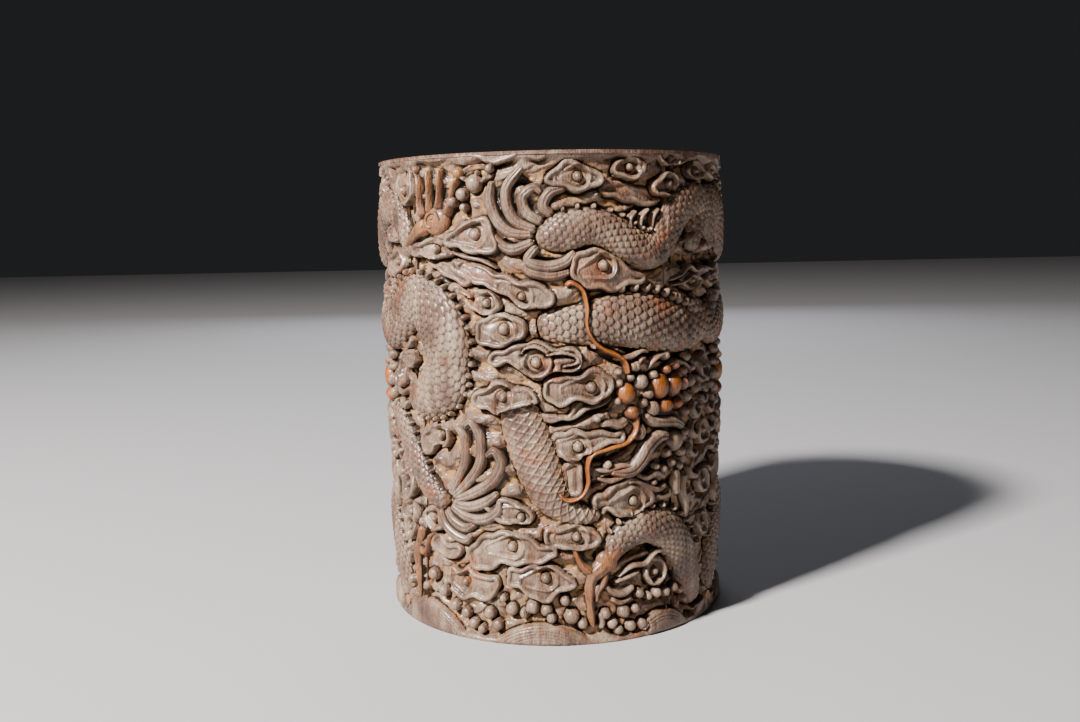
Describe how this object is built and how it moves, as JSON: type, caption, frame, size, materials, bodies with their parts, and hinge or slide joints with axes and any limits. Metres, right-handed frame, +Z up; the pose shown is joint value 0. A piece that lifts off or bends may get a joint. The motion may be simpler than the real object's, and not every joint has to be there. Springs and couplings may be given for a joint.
{
  "type": "brush pot",
  "caption": "Round bamboo brush pot, open at the top, with dragons among clouds carved in relief round its straight wall and a wooden floor pinned into its foot.",
  "frame": {"origin": "centre of the foot on the surface that the pot stands on", "axes": "+Z up along the pot's axis, -Y towards the front, where the dragon's head is, and +X to the right seen from the front"},
  "size_m": [0.118, 0.118, 0.15],
  "materials": {
    "carved_bamboo": "old carved bamboo, handled and waxed to a soft sheen, with pale dust in the hollows",
    "floor_wood": "turned dense hardwood, oiled",
    "pin_bamboo": "split bamboo, whittled round and cut flush",
    "lacquer_putty": "dark raw lacquer and ash putty, matt"
  },
  "bodies": {
    "root": {"culm_wall": "carved_bamboo", "floor_disc": "floor_wood", "floor_pins": "pin_bamboo", "lacquer_seam": "lacquer_putty"}
  },
  "joints": []
}
